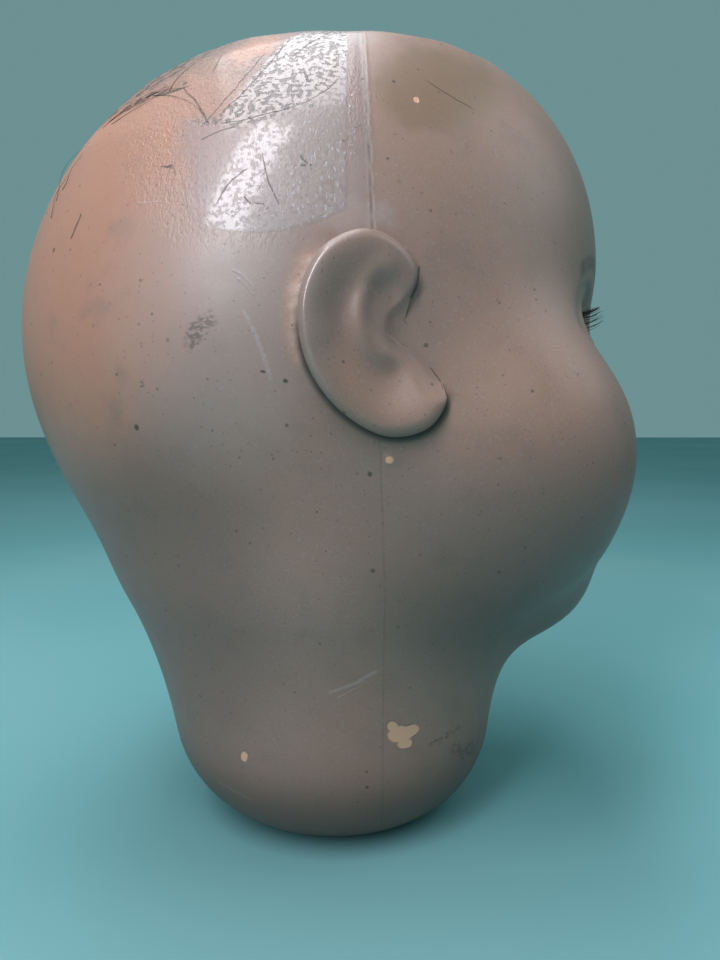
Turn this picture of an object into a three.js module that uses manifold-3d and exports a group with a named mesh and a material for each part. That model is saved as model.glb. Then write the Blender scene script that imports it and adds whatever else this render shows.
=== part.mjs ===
// A celluloid doll's head, as large as a baby doll's half a metre tall: a thin hollow shell, blown in a
// two-part mould, with its ears moulded on. The crown is cut off flat for a wig that is gone, and the neck
// ends in a rounded seat with a hook hole. Two glass eyes stand behind the eye openings, each with a fringe
// of lashes under its upper lid.
// Millimetres, +Z up. The head stands on the flat ring of its neck at Z 0, the face looks along +X, and the
// two sides mirror each other across Y 0.
import * as THREE from "three";
import { mergeVertices } from "three/addons/utils/BufferGeometryUtils.js";
import Module from "manifold-3d";

const CROWN_HEIGHT = 163;
const WALL = 1.8;

// The swollen forms that the head is blended from, each with its centre and its half-sizes. One that stands
// off the middle plane has a twin on the other side.
const CRANIUM = { at: [-7, 0, 108.5], half: [59.5, 57, 59] };
const FOREHEAD = { at: [4.5, 0, 127], half: [54, 47.5, 48.5] };
const JAW = { at: [20.5, 0, 71], half: [42.5, 45, 23.5] };
const CHEEK = { at: [32, 26, 85], half: [28.5, 28, 27] };
const CHIN = { at: [44, 0, 55.5], half: [15, 17, 12.5] };
const UPPER_FACE = { at: [37, 0, 93], half: [22, 27, 22] };
const NOSE_BRIDGE = { at: [52, 0, 101], half: [7, 5.5, 13] };
const NOSE_TIP = { at: [59, 0, 92.5], half: [8, 7, 6.6] };
const NOSTRIL_WING = { at: [56, 6.8, 90.6], half: [5.5, 4.2, 4.2] };
const MUZZLE = { at: [50, 0, 76.5], half: [11.5, 14, 11] };
const UPPER_LIP = { at: [60.9, 3.8, 79.2], half: [4.6, 6.6, 2.8] };
const LOWER_LIP = { at: [60.5, 0, 73], half: [4.6, 7.8, 3.2] };
const EYE_HOLLOW = { at: [66, 20.5, 108], half: [18, 15.5, 10.5] };
const EYELIDS = { at: [35.5, 20.5, 107], half: [14.6, 14.6, 14.6] };

// How far each group of forms runs into the next.
const SKULL_BLEND = 4;
const NECK_BLEND = 6;
const FACE_BLEND = 2.5;
const NOSE_BLEND = 1.8;
const LID_BLEND = 1.5;
const NOSE_PART_BLEND = 1.3;
const LIP_BLEND = 1;
const MOUTH_LINE_BLEND = 0.5;

// The neck is an upright oval that leans back and widens upwards, with a rounded lower edge.
const NECK = { radius: 35.5, oval: 0.95, x: 1.5, top: 73, edge: 20.5, flare: 5, lean: -2, rise: 40 };
const HOOK_HOLE_RADIUS = 9;
const SEAT_THICKNESS = 2.4;
const SEAT_INSIDE_RADIUS = 13;
const SEAT_FILLET_TOP = 6;

// The shell's grid: sides around the head, closest at the face, and rings from the hook hole up the outside
// to the crown and down the inside.
const SIDES = 58;
const FACE_CROWDING = 0.42;
const EAR_CROWDING = 0.08;
const AXIS_X = 2;
const ROUNDING_RINGS = 4;
const OUTSIDE_BANDS = [
  { to: 46, rings: 4 },
  { to: 62, rings: 4 },
  { to: 84, rings: 9 },
  { to: 122, rings: 12 },
  { to: CROWN_HEIGHT, rings: 7 },
];
const INSIDE_BANDS = [
  { to: 124, rings: 3 },
  { to: 92, rings: 6 },
  { to: 20, rings: 4 },
];

// The ear's outline on the side of the head: forward and up from the ear's middle, and how far the rim stands
// out there. It starts where the rim springs from the temple and runs over the top, down the back and round
// the lobe to the open front.
const EAR = { x: 10.5, z: 105.5 };
const EAR_OUTLINE = [
  [4.4, 4.7, 0.8],
  [6, 9.4, 2.2],
  [3.6, 13.9, 3.2],
  [-2, 16.2, 4.2],
  [-8.9, 13.2, 5],
  [-12.5, 6.5, 5.6],
  [-12.6, -1, 5.6],
  [-10.6, -7, 5.2],
  [-5.5, -13, 4.6],
  [1.5, -16.4, 4],
  [8, -14.8, 3.4],
  [10.8, -9.5, 2.6],
  [8.2, -5, 1.2],
  [4, -1.5, 0.4],
];
const EAR_POLE = { u: -1.5, w: 1.5 };
const EAR_SIDES = 34;
const EAR_FLOOR = 1;
const EAR_ROOT_DEPTH = -1.2;
// Rings of the ear from its hollow out to the rim and back under it: share of the way to the outline, and
// share of the rim's height. The last two rings lie under the head's skin.
const EAR_RINGS = [
  [0, 0], [0.18, 0], [0.36, 0], [0.54, 0.3], [0.7, 0.68], [0.83, 0.93], [0.93, 1],
  [1, 0.7], [0.97, 0.3], [0.88, null], [0, null],
];
// The curved fold inside the rim, an ellipse open to the front.
const EAR_FOLD = { u: 0.3, w: 3.6, halfU: 4.4, halfW: 6.8, height: 1.4, width: 0.26, frontFade: 3.5 };

const EYE = { x: 35.3, y: 20.5, z: 107, radius: 13.8, corneaRise: 0.8, corneaRadius: 6, around: 18, along: 12 };
const EYE_OPENING = { half: 11, up: 6.8, down: 5.4, power: 2.2, steps: 14, from: 30, to: 80 };

// The fringe leaves the opening straight and only then fans out and lifts.
const LASH = { inner: -0.6, outer: 0.84, below: 0.4, thickness: 0.5, tip: 0.25, length: 10, straight: 0.56, lift: 3.4,
  fan: 3, gap: 0.4, along: 10, steps: [0, 0.56, 0.8, 1] };

// Where the search for the skin starts and ends, from the head's axis or from the middle plane, its step,
// and how often the last step is halved.
const FROM_AXIS = { start: 4, end: 95 };
const FROM_MIDDLE = { start: 20, end: 80 };
const SEARCH_STEP = 1.2;
const HALVINGS = 16;
const WELD = 1e-4;

const wasm = await Module();
wasm.setup();

// Signed distance to an ellipsoid, near enough close to its surface. y is mirrored by the caller.
function ellipsoid(form, x, y, z) {
  const [cx, cy, cz] = form.at;
  const [a, b, c] = form.half;
  const k0 = Math.hypot((x - cx) / a, (y - cy) / b, (z - cz) / c);
  const k1 = Math.hypot((x - cx) / (a * a), (y - cy) / (b * b), (z - cz) / (c * c));
  return k0 * (k0 - 1) / Math.max(k1, 1e-9);
}

// Joins distances into one, with fillets about as wide as the blend.
function blended(distances, blend) {
  const least = Math.min(...distances);
  const total = distances.reduce((sum, d) => sum + Math.exp((least - d) / blend), 0);
  return least - blend * Math.log(total);
}

function neckDistance(x, y, z) {
  const rise = THREE.MathUtils.clamp(z / NECK.rise, 0, 2);
  const radius = NECK.radius + NECK.flare * rise * rise;
  const out = Math.hypot(x - NECK.x - NECK.lean * rise, y / NECK.oval) - radius + NECK.edge;
  const along = Math.abs(z - NECK.top / 2) - NECK.top / 2 + NECK.edge;
  return Math.min(Math.max(out, along), 0) + Math.hypot(Math.max(out, 0), Math.max(along, 0)) - NECK.edge;
}

// Distance to the head's skin without its ears, negative inside.
function headDistance(x, ySigned, z) {
  const y = Math.abs(ySigned);
  const to = (form) => ellipsoid(form, x, y, z);
  const skull = blended([to(CRANIUM), to(FOREHEAD)], SKULL_BLEND);
  const lowerFace = blended([to(JAW), to(CHEEK), to(CHIN), to(UPPER_FACE)], SKULL_BLEND);
  let d = blended([skull, lowerFace, neckDistance(x, y, z)], NECK_BLEND);
  d = -blended([-d, to(EYE_HOLLOW)], FACE_BLEND);
  d = blended([d, to(EYELIDS)], LID_BLEND);
  d = blended([d, to(MUZZLE)], FACE_BLEND);
  d = blended([d, blended([to(NOSE_BRIDGE), to(NOSE_TIP), to(NOSTRIL_WING)], NOSE_PART_BLEND)], NOSE_BLEND);
  return blended([d, blended([to(UPPER_LIP), to(LOWER_LIP)], MOUTH_LINE_BLEND)], LIP_BLEND);
}

// Where a ray first passes the given depth under the skin, walking in small steps and then halving.
function firstCrossing(distanceAt, { start, end }, depth) {
  let low = start;
  let high = start + SEARCH_STEP;
  while (high < end && distanceAt(high) < depth) {
    low = high;
    high += SEARCH_STEP;
  }
  for (let i = 0; i < HALVINGS; i++) {
    const middle = (low + high) / 2;
    if (distanceAt(middle) < depth) low = middle;
    else high = middle;
  }
  return (low + high) / 2;
}

function sideAngle(share) {
  const turn = share * 2 * Math.PI;
  return turn - FACE_CROWDING * Math.sin(turn) - EAR_CROWDING * Math.sin(2 * turn);
}

// A point of the shell level with z, at an angle round the head's axis and a depth under the skin.
function skinPoint(angle, z, depth) {
  const reach = (r) => headDistance(AXIS_X + r * Math.cos(angle), r * Math.sin(angle), z);
  const r = firstCrossing(reach, FROM_AXIS, depth);
  return new THREE.Vector3(AXIS_X + r * Math.cos(angle), r * Math.sin(angle), z);
}

function seatPoint(angle, radius, z) {
  return new THREE.Vector3(NECK.x + radius * Math.cos(angle), NECK.oval * radius * Math.sin(angle), z);
}

function heightsOf(bands, start) {
  const heights = [];
  let from = start;
  for (const { to, rings } of bands) {
    for (let i = 1; i <= rings; i++) heights.push(from + (to - from) * i / rings);
    from = to;
  }
  return heights;
}

// The shell's rings in order: hook hole, flat seat, rounded edge, outside, flat crown rim, inside, seat inside.
function shellRings() {
  const rounding = Array.from({ length: ROUNDING_RINGS }, (_, i) =>
    NECK.edge * (1 - Math.cos((i + 1) / ROUNDING_RINGS * Math.PI / 2)));
  const outside = [...rounding, ...heightsOf(OUTSIDE_BANDS, NECK.edge)];
  const inside = [CROWN_HEIGHT, ...heightsOf(INSIDE_BANDS, CROWN_HEIGHT)];
  return [
    (angle) => seatPoint(angle, HOOK_HOLE_RADIUS, 0),
    (angle) => seatPoint(angle, NECK.radius - NECK.edge, 0),
    ...outside.map((z) => (angle) => skinPoint(angle, z, 0)),
    ...inside.map((z) => (angle) => skinPoint(angle, z, -WALL)),
    (angle) => skinPoint(angle, SEAT_FILLET_TOP, -WALL),
    (angle) => seatPoint(angle, SEAT_INSIDE_RADIUS, SEAT_THICKNESS),
    (angle) => seatPoint(angle, HOOK_HOLE_RADIUS, SEAT_THICKNESS),
  ];
}

// Leaves only the positions of a geometry and welds its seams.
function welded(geometry) {
  geometry.deleteAttribute("normal");
  geometry.deleteAttribute("uv");
  return mergeVertices(geometry, WELD);
}

// A ring surface whose rings and sides take the head's form.
function headShell() {
  const rings = shellRings();
  const geometry = new THREE.TorusGeometry(2, 1, rings.length, SIDES);
  const position = geometry.attributes.position;
  for (let ring = 0; ring <= rings.length; ring++) {
    for (let side = 0; side <= SIDES; side++) {
      const point = rings[ring % rings.length](sideAngle(side % SIDES / SIDES));
      position.setXYZ(ring * (SIDES + 1) + side, point.x, point.y, point.z);
    }
  }
  return welded(geometry);
}

const earOutline = new THREE.CatmullRomCurve3(
  EAR_OUTLINE.map(([u, w, rise]) => new THREE.Vector3(u, w, rise)), true, "centripetal");

// How far the fold inside the rim stands up at a place of the ear.
function foldRise(u, w) {
  const ring = Math.hypot((u - EAR_FOLD.u) / EAR_FOLD.halfU, (w - EAR_FOLD.w) / EAR_FOLD.halfW);
  const open = 1 - THREE.MathUtils.smoothstep(u, EAR_FOLD.u, EAR_FOLD.u + EAR_FOLD.frontFade);
  return EAR_FOLD.height * open * Math.exp(-(((ring - 1) / EAR_FOLD.width) ** 2));
}

function sideSkin(x, z) {
  return firstCrossing((y) => headDistance(x, y, z), FROM_MIDDLE, 0);
}

// One ear as a closed cushion that is set into the side of the head. side is -1 for the right ear.
function earGeometry(side) {
  const geometry = new THREE.SphereGeometry(1, EAR_SIDES, EAR_RINGS.length - 1);
  const position = geometry.attributes.position;
  EAR_RINGS.forEach(([share, rimShare], ring) => {
    for (let i = 0; i <= EAR_SIDES; i++) {
      const rim = earOutline.getPoint(i % EAR_SIDES / EAR_SIDES);
      const u = EAR_POLE.u + (rim.x - EAR_POLE.u) * share;
      const w = EAR_POLE.w + (rim.y - EAR_POLE.w) * share;
      const rise = rimShare === null
        ? EAR_ROOT_DEPTH
        : EAR_FLOOR + (rim.z - EAR_FLOOR) * rimShare + foldRise(u, w);
      const y = sideSkin(EAR.x + u, EAR.z + w) + rise;
      position.setXYZ(ring * (EAR_SIDES + 1) + i, EAR.x + u, side * y, EAR.z + w);
    }
  });
  const ear = welded(geometry);
  return side < 0 ? ear : turnedOver(ear);
}

function turnedOver(geometry) {
  const index = geometry.index;
  for (let i = 0; i < index.count; i += 3) {
    const first = index.getX(i);
    index.setX(i, index.getX(i + 1));
    index.setX(i + 1, first);
  }
  return geometry;
}

// Height of the upper or lower lid's edge over the eye's middle, across the opening from -1 to 1.
function lidEdge(share, height) {
  return height * (1 - Math.abs(share) ** EYE_OPENING.power);
}

// An almond-shaped cutter along X for one eye's opening.
function eyeOpening(side) {
  const almond = new THREE.Shape();
  const at = (i) => -1 + 2 * i / EYE_OPENING.steps;
  almond.moveTo(-EYE_OPENING.half, 0);
  for (let i = 1; i <= EYE_OPENING.steps; i++) {
    almond.lineTo(EYE_OPENING.half * at(i), lidEdge(at(i), EYE_OPENING.up));
  }
  for (let i = EYE_OPENING.steps - 1; i > 0; i--) {
    almond.lineTo(EYE_OPENING.half * at(i), -lidEdge(at(i), EYE_OPENING.down));
  }
  almond.closePath();
  const cutter = new THREE.ExtrudeGeometry(almond, {
    depth: EYE_OPENING.to - EYE_OPENING.from, bevelEnabled: false,
  });
  const axes = new THREE.Matrix4().makeBasis(
    new THREE.Vector3(0, 1, 0), new THREE.Vector3(0, 0, 1), new THREE.Vector3(1, 0, 0));
  cutter.applyMatrix4(axes);
  cutter.translate(EYE_OPENING.from, side * EYE.y, EYE.z);
  return welded(cutter);
}

function solid(geometry) {
  return new wasm.Manifold(new wasm.Mesh({
    numProp: 3,
    vertProperties: new Float32Array(geometry.attributes.position.array),
    triVerts: new Uint32Array(geometry.index.array),
  }));
}

function geometryOf(manifold) {
  const mesh = manifold.getMesh();
  const geometry = new THREE.BufferGeometry();
  geometry.setAttribute("position", new THREE.BufferAttribute(new Float32Array(mesh.vertProperties), 3));
  geometry.setIndex(new THREE.BufferAttribute(new Uint32Array(mesh.triVerts), 1));
  return geometry;
}

// A glass ball with the clear front's low bulge, its pole facing forward.
function eyeGeometry() {
  const geometry = new THREE.SphereGeometry(EYE.radius, EYE.around, EYE.along);
  geometry.rotateZ(-Math.PI / 2);
  const position = geometry.attributes.position;
  for (let i = 0; i < position.count; i++) {
    const fromPole = Math.hypot(position.getY(i), position.getZ(i)) / EYE.corneaRadius;
    if (position.getX(i) > 0 && fromPole < 1) {
      position.setX(i, position.getX(i) + EYE.corneaRise * (1 - fromPole * fromPole));
    }
  }
  return welded(geometry);
}

// A thin fringe that follows the upper lid from inside the opening and sweeps out and up.
function lashGeometry(side) {
  const geometry = new THREE.BoxGeometry(1, 1, 1, LASH.along, LASH.steps.length - 1, 1);
  const position = geometry.attributes.position;
  for (let i = 0; i < position.count; i++) {
    const share = THREE.MathUtils.lerp(LASH.inner, LASH.outer, 0.5 + position.getX(i));
    const out = LASH.steps[Math.round((0.5 + position.getY(i)) * (LASH.steps.length - 1))];
    const bend = Math.max(0, (out - LASH.straight) / (1 - LASH.straight));
    const y = share * EYE_OPENING.half;
    const up = lidEdge(share, EYE_OPENING.up) - LASH.below;
    const rootX = Math.sqrt((EYE.radius + LASH.gap) ** 2 - y * y - (up - LASH.thickness) ** 2);
    const thickness = THREE.MathUtils.lerp(LASH.thickness, LASH.tip, out);
    const under = (0.5 - position.getZ(i)) * thickness;
    position.setXYZ(i, rootX + LASH.length * out, side * (y + LASH.fan * Math.max(share, 0) * bend),
      up + LASH.lift * bend ** 2 - under);
  }
  const lash = welded(geometry);
  return side < 0 ? lash : turnedOver(lash);
}

const SKIN = new THREE.MeshStandardMaterial({ color: 0x8d7668, roughness: 0.4, metalness: 0 });
const GLASS = new THREE.MeshStandardMaterial({ color: 0x6a7f8c, roughness: 0.05, metalness: 0 });
const HAIR = new THREE.MeshStandardMaterial({ color: 0x14110f, roughness: 0.7, metalness: 0 });

function named(name, geometry, material) {
  const mesh = new THREE.Mesh(geometry, material);
  geometry.computeVertexNormals();
  mesh.name = name;
  return mesh;
}

const RIGHT = -1;
const LEFT = 1;
const head = solid(headShell())
  .add(solid(earGeometry(RIGHT)))
  .add(solid(earGeometry(LEFT)))
  .subtract(solid(eyeOpening(RIGHT)))
  .subtract(solid(eyeOpening(LEFT)));

const doll = new THREE.Group();
doll.add(named("head_shell", geometryOf(head), SKIN));
for (const [label, side] of [["right", RIGHT], ["left", LEFT]]) {
  const eye = named("eye_" + label, eyeGeometry(), GLASS);
  eye.position.set(EYE.x, side * EYE.y, EYE.z);
  const lash = named("lash_" + label, lashGeometry(side), HAIR);
  lash.position.copy(eye.position);
  doll.add(eye, lash);
}

export default doll;
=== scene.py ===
"""The celluloid doll head, dressed: painted shell, glass eyes, lashes and the last hairs of a lost wig.

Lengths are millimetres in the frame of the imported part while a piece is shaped, and metres once it is done:
+X is the way the face looks, +Y its left, +Z up, and the head stands on its neck seat at Z 0.
"""

import logging
import math
from collections.abc import Callable, Sequence
from dataclasses import dataclass, field
from enum import Enum
from typing import Any

import bpy
import numpy as np
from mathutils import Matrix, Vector

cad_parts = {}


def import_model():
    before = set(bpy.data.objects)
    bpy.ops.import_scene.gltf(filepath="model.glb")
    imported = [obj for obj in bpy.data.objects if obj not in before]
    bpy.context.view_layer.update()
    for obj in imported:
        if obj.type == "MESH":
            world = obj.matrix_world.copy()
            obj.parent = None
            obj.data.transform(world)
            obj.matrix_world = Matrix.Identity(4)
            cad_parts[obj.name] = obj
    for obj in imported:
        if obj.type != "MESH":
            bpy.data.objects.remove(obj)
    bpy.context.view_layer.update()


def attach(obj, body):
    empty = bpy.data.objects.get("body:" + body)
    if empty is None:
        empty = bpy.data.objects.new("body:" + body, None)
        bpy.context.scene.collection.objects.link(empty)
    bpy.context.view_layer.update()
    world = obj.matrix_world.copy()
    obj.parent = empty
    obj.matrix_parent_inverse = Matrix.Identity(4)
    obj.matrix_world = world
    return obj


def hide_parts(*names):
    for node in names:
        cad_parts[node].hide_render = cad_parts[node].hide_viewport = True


LOG = logging.getLogger("doll_head")
METRES = 0.001
Array = np.ndarray
Place = tuple[float, float]
Spot = tuple[float, float, float]
Tone = tuple[float, float, float, float]


class Side(Enum):
    """The doll's own sides, with the sign of Y there."""

    RIGHT = -1
    LEFT = 1

    @property
    def word(self) -> str:
        """The side as it stands in a piece's name."""
        return self.name.lower()


def bell(distance: Array, width: float) -> Array:
    """A smooth hump that is 1 at no distance and fades over the width."""
    return np.exp(-((distance / width) ** 2))


def eased(value: Array, start: float, end: float) -> Array:
    """A smooth step from 0 at start to 1 at end, which may be the smaller of the two."""
    share = np.clip((value - start) / (end - start), 0, 1)
    return share * share * (3 - 2 * share)


def blended(distances: Sequence[Array], blend: float) -> Array:
    """Joins distances into one, with fillets about as wide as the blend.

    Args:
        distances: signed distances to the forms that are joined.
        blend: how far one form runs into the next, in millimetres.

    Returns:
        The signed distance to the joined form.
    """
    stack = np.stack(distances)
    least = stack.min(0)
    return least - blend * np.log(np.exp((least - stack) / blend).sum(0))


def tone(red: int, green: int, blue: int) -> Tone:
    """A colour as it looks on a screen, from 0 to 255, turned into the linear one that a shader takes."""

    def linear(level: int) -> float:
        share = level / 255
        return share / 12.92 if share <= 0.04045 else ((share + 0.055) / 1.055) ** 2.4

    return linear(red), linear(green), linear(blue), 1.0


@dataclass(frozen=True)
class Swell:
    """One swollen form of the head. A form off the middle plane stands for its twin as well."""

    at: Spot
    half: Spot

    def distance(self, points: Array) -> Array:
        """Signed distance to the form, near enough close to its surface."""
        away = points - np.array(self.at)
        half = np.array(self.half)
        near = np.sqrt(((away / half) ** 2).sum(-1))
        steep = np.sqrt(((away / half**2) ** 2).sum(-1))
        return near * (near - 1) / np.maximum(steep, 1e-9)


@dataclass(frozen=True)
class Neck:
    """The neck: an upright oval that leans back and widens upwards, with a rounded lower edge."""

    radius: float = 35.5
    oval: float = 0.95
    x: float = 1.5
    top: float = 73.0
    edge: float = 20.5
    flare: float = 5.0
    lean: float = -2.0
    rise: float = 40.0

    def distance(self, points: Array) -> Array:
        """Signed distance to the neck."""
        x, y, z = np.moveaxis(points, -1, 0)
        rise = np.clip(z / self.rise, 0, 2)
        reach = np.hypot(x - self.x - self.lean * rise, y / self.oval)
        out = reach - self.radius - self.flare * rise**2 + self.edge
        along = np.abs(z - self.top / 2) - self.top / 2 + self.edge
        inner = np.minimum(np.maximum(out, along), 0)
        return inner + np.hypot(np.maximum(out, 0), np.maximum(along, 0)) - self.edge

    def seat(self, angle: Array, radius: float, z: float) -> Array:
        """Points of a level ring about the hook hole."""
        return np.stack(
            [self.x + radius * np.cos(angle), self.oval * radius * np.sin(angle), np.full_like(angle, z)], -1
        )


@dataclass(frozen=True)
class HeadForm:
    """The head's skin without its ears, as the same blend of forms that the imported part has."""

    neck: Neck = Neck()
    cranium: Swell = Swell((-7, 0, 108.5), (59.5, 57, 59))
    forehead: Swell = Swell((4.5, 0, 127), (54, 47.5, 48.5))
    jaw: Swell = Swell((20.5, 0, 71), (42.5, 45, 23.5))
    cheek: Swell = Swell((32, 26, 85), (28.5, 28, 27))
    chin: Swell = Swell((44, 0, 55.5), (15, 17, 12.5))
    upper_face: Swell = Swell((37, 0, 93), (22, 27, 22))
    nose_bridge: Swell = Swell((52, 0, 101), (7, 5.5, 13))
    nose_tip: Swell = Swell((59, 0, 92.5), (8, 7, 6.6))
    nostril_wing: Swell = Swell((56, 6.8, 90.6), (5.5, 4.2, 4.2))
    muzzle: Swell = Swell((50, 0, 76.5), (11.5, 14, 11))
    upper_lip: Swell = Swell((60.9, 3.8, 79.2), (4.6, 6.6, 2.8))
    lower_lip: Swell = Swell((60.5, 0, 73), (4.6, 7.8, 3.2))
    eye_hollow: Swell = Swell((66, 20.5, 108), (18, 15.5, 10.5))
    eyelids: Swell = Swell((35.5, 20.5, 107), (14.6, 14.6, 14.6))
    skull_blend: float = 4.0
    neck_blend: float = 6.0
    face_blend: float = 2.5
    nose_blend: float = 1.8
    lid_blend: float = 1.5
    nose_part_blend: float = 1.3
    lip_blend: float = 1.0
    mouth_line_blend: float = 0.5

    def lips(self, points: Array) -> Array:
        """Signed distance to the two lips alone."""
        p = points.copy()
        p[..., 1] = np.abs(p[..., 1])
        return blended([self.upper_lip.distance(p), self.lower_lip.distance(p)], self.mouth_line_blend)

    def distance(self, points: Array) -> Array:
        """Signed distance to the skin, negative inside."""
        p = points.copy()
        p[..., 1] = np.abs(p[..., 1])
        skull = blended([self.cranium.distance(p), self.forehead.distance(p)], self.skull_blend)
        face = (self.jaw, self.cheek, self.chin, self.upper_face)
        lower = blended([form.distance(p) for form in face], self.skull_blend)
        d = blended([skull, lower, self.neck.distance(p)], self.neck_blend)
        d = -blended([-d, self.eye_hollow.distance(p)], self.face_blend)
        d = blended([d, self.eyelids.distance(p)], self.lid_blend)
        d = blended([d, self.muzzle.distance(p)], self.face_blend)
        nose = (self.nose_bridge, self.nose_tip, self.nostril_wing)
        d = blended([d, blended([form.distance(p) for form in nose], self.nose_part_blend)], self.nose_blend)
        return blended([d, self.lips(p)], self.lip_blend)

    def normal(self, points: Array) -> Array:
        """Unit vectors that point straight out of the skin."""
        step = 0.2
        lean = [self.distance(points + axis) - self.distance(points - axis) for axis in np.eye(3) * step]
        slope = np.stack(lean, -1)
        return slope / np.linalg.norm(slope, axis=-1, keepdims=True)

    def reach(self, start: Array, way: Array, begin: float, depth: Array | float = 0.0) -> Array:
        """How far along each ray the skin lies, or a depth under it.

        Args:
            start: the rays' starting points, well inside the head.
            way: their unit directions.
            begin: how far along each ray the search begins.
            depth: the distance to the skin that is looked for, negative inside.

        Returns:
            The way along each ray.
        """
        far = np.full(start.shape[:-1], begin, float)
        for _ in range(34):
            far += np.clip(0.7 * (depth - self.distance(start + way * far[..., None])), -0.5, 4)
        step = 0.05
        for _ in range(4):
            low = self.distance(start + way * (far - step)[..., None])
            high = self.distance(start + way * (far + step)[..., None])
            slope = np.maximum((high - low) / (2 * step), 0.08)
            far += np.clip((depth - (low + high) / 2) / slope, -1, 1)
        return far

    def side_reach(self, x: Array, z: Array) -> Array:
        """How far out the skin is at the side of the head, at a place seen from the side."""
        start = np.stack([x, np.zeros_like(x), z], -1)
        way = np.broadcast_to(np.array([0.0, 1.0, 0.0]), start.shape)
        return self.reach(start, way, 20.0)


class Outline:
    """A closed line in a plane that other places are measured from."""

    def __init__(self, corners: Array) -> None:
        """Keeps the corners, one row each."""
        self.start = corners
        self.way = np.roll(corners, -1, 0) - corners

    def reach(self, places: Array) -> Array:
        """Signed distance from each place to the line, negative inside it."""
        away = places[:, None] - self.start
        share = np.clip((away * self.way).sum(-1) / (self.way**2).sum(-1), 0, 1)
        far = np.sqrt(((away - share[..., None] * self.way) ** 2).sum(-1)).min(1)
        low, high = self.start[:, 1], self.start[:, 1] + self.way[:, 1]
        level = places[:, None, 1]
        rise = np.where(self.way[:, 1] == 0, 1, self.way[:, 1])
        crossing = self.start[:, 0] + (level - low) / rise * self.way[:, 0]
        passed = ((low > level) != (high > level)) & (places[:, None, 0] < crossing)
        return np.where(passed.sum(1) % 2 == 1, -far, far)


def started(add: Callable[..., Any], **sizes: Any) -> bpy.types.Object:
    """Adds a primitive with nothing else selected and returns its object."""
    bpy.ops.object.select_all(action="DESELECT")
    add(**sizes)
    return bpy.context.object


def chosen(piece: bpy.types.Object) -> None:
    """Makes a piece the only selected and the active one."""
    bpy.ops.object.select_all(action="DESELECT")
    piece.select_set(True)
    bpy.context.view_layer.objects.active = piece


def places_of(piece: bpy.types.Object) -> Array:
    """The piece's vertices as rows of x, y and z."""
    flat = np.zeros(len(piece.data.vertices) * 3)
    piece.data.vertices.foreach_get("co", flat)
    return flat.reshape(-1, 3)


def placed(piece: bpy.types.Object, points: Array) -> None:
    """Moves the piece's vertices to the given points."""
    piece.data.vertices.foreach_set("co", points.astype(np.float32).ravel())
    piece.data.update()


def noted(piece: bpy.types.Object, name: str, values: Array) -> None:
    """Keeps one number for each vertex as an attribute that the finish reads."""
    attribute = piece.data.attributes.new(name, "FLOAT", "POINT")
    attribute.data.foreach_set("value", values.astype(np.float32))


def turned_outwards(piece: bpy.types.Object) -> None:
    """Makes a closed piece's faces point outwards."""
    chosen(piece)
    bpy.ops.object.mode_set(mode="EDIT")
    bpy.ops.mesh.select_all(action="SELECT")
    bpy.ops.mesh.normals_make_consistent(inside=False)
    bpy.ops.object.mode_set(mode="OBJECT")


def joined(piece: bpy.types.Object, other: bpy.types.Object, how: str) -> None:
    """Joins or cuts a piece with another one, which is used up.

    Args:
        piece: the closed piece that is kept.
        other: the closed piece that is joined or cut away.
        how: the boolean operation's name.
    """
    chosen(piece)
    modifier = piece.modifiers.new("join", "BOOLEAN")
    modifier.operation = how
    modifier.solver = "MANIFOLD"
    modifier.object = other
    bpy.ops.object.modifier_apply(modifier=modifier.name)
    bpy.data.objects.remove(other)


def finished(piece: bpy.types.Object, name: str, finish: bpy.types.Material, angle: float) -> None:
    """Gives a shaped piece its name, its real size, its finish and its place in the frame.

    Args:
        piece: the piece, still in millimetres.
        name: its name in the scene.
        finish: its material.
        angle: the edge angle in degrees up to which it is shaded smooth.
    """
    chosen(piece)
    piece.name = name
    piece.data.name = name
    placed(piece, places_of(piece) * METRES)
    bpy.ops.object.shade_smooth_by_angle(angle=math.radians(angle))
    piece.data.materials.clear()
    piece.data.materials.append(finish)
    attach(piece, "root")
    LOG.info("%s: %d triangles", name, sum(len(face.vertices) - 2 for face in piece.data.polygons))


def strands(paths: Sequence[Array], thickness: float) -> bpy.types.Object:
    """Thin hairs that taper to their tips, as one mesh.

    Args:
        paths: the points that each hair follows from its root.
        thickness: a hair's thickness at its root, in millimetres.

    Returns:
        The hairs' object.
    """
    curve = bpy.data.curves.new("strands", "CURVE")
    curve.dimensions = "3D"
    curve.bevel_depth = thickness / 2
    curve.bevel_resolution = 1
    curve.use_fill_caps = True
    for path in paths:
        hair = curve.splines.new("POLY")
        hair.points.add(len(path) - 1)
        hair.points.foreach_set("co", np.column_stack([path, np.ones(len(path))]).ravel())
        hair.points.foreach_set("radius", np.linspace(1, 0.25, len(path)))
    piece = bpy.data.objects.new("strands", curve)
    bpy.context.scene.collection.objects.link(piece)
    chosen(piece)
    bpy.ops.object.convert(target="MESH")
    return bpy.context.object


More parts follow.
